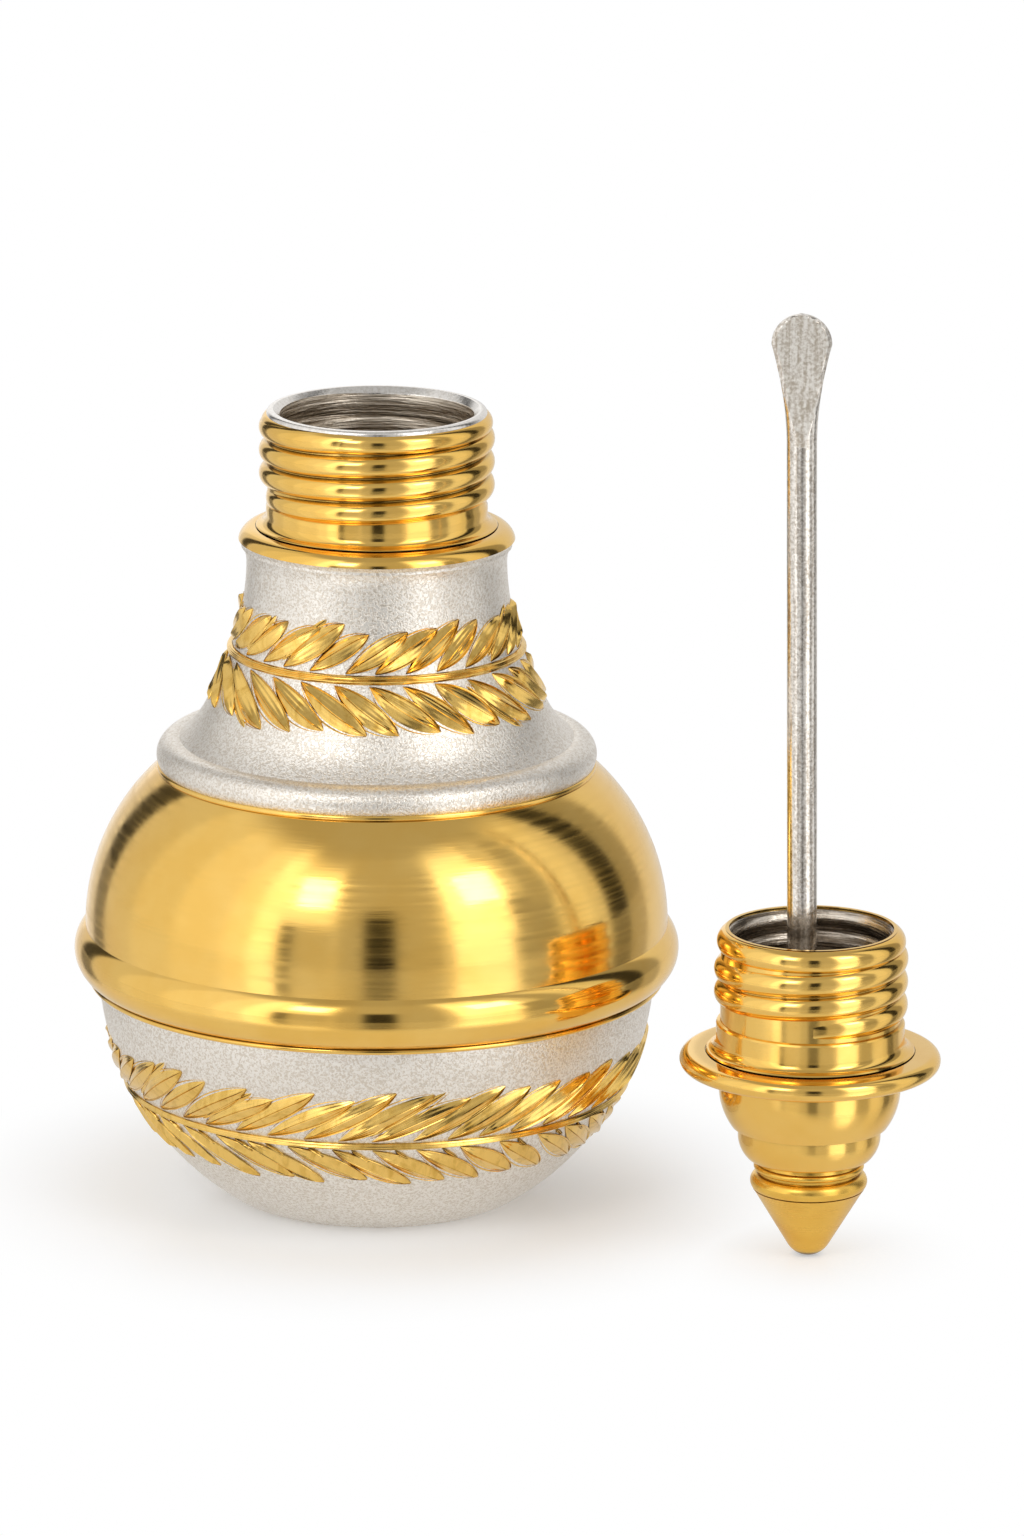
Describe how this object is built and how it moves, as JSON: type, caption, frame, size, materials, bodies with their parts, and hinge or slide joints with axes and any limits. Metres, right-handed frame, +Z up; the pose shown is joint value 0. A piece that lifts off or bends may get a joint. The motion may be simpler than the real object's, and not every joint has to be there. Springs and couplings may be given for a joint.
{
  "type": "kohl container",
  "caption": "Pear-shaped kohl bottle of matte silver and gilt shells with leaf garlands and a screw neck; its screw stopper carries a kohl stick and stands beside it.",
  "frame": {"origin": "centre of the bottle's flat foot, on the surface that it stands on", "axes": "+Z up along the bottle's axis; +X towards the stopper's side; -Y towards the front"},
  "size_m": [0.0774, 0.0586, 0.0853],
  "materials": {
    "matte_silver": "matte stippled silver",
    "turned_silver": "turned satin silver",
    "stick_silver": "satin silver",
    "polished_gilt": "polished and lightly brushed gilt",
    "chased_gilt": "chased satin gilt"
  },
  "bodies": {
    "bottle": {"base_disc": "matte_silver", "lower_bowl": "matte_silver", "lower_stem": "chased_gilt", "lower_leaves_upward": "chased_gilt", "lower_leaves_downward": "chased_gilt", "belt_ring": "polished_gilt", "gilt_dome": "polished_gilt", "bell_seat_wire": "polished_gilt", "bell": "matte_silver", "upper_stem": "chased_gilt", "upper_leaves_upward": "chased_gilt", "upper_leaves_downward": "chased_gilt", "collar_ring": "polished_gilt", "neck_sleeve": "polished_gilt", "neck_thread": "polished_gilt", "mouth_lining": "turned_silver", "mouth_thread": "turned_silver"},
    "stopper": {"flange_ring": "polished_gilt", "plug_sleeve": "polished_gilt", "plug_thread": "polished_gilt", "plug_lining": "turned_silver", "stick_socket": "turned_silver", "finial_cup": "polished_gilt", "finial_lower_cup": "polished_gilt", "finial_point": "polished_gilt", "kohl_stick": "stick_silver"}
  },
  "joints": [
    {"name": "stopper_lift", "type": "slide", "parent": "bottle", "child": "stopper", "axis": [0, 0, 1], "range_m": [0, 0.09]}
  ]
}
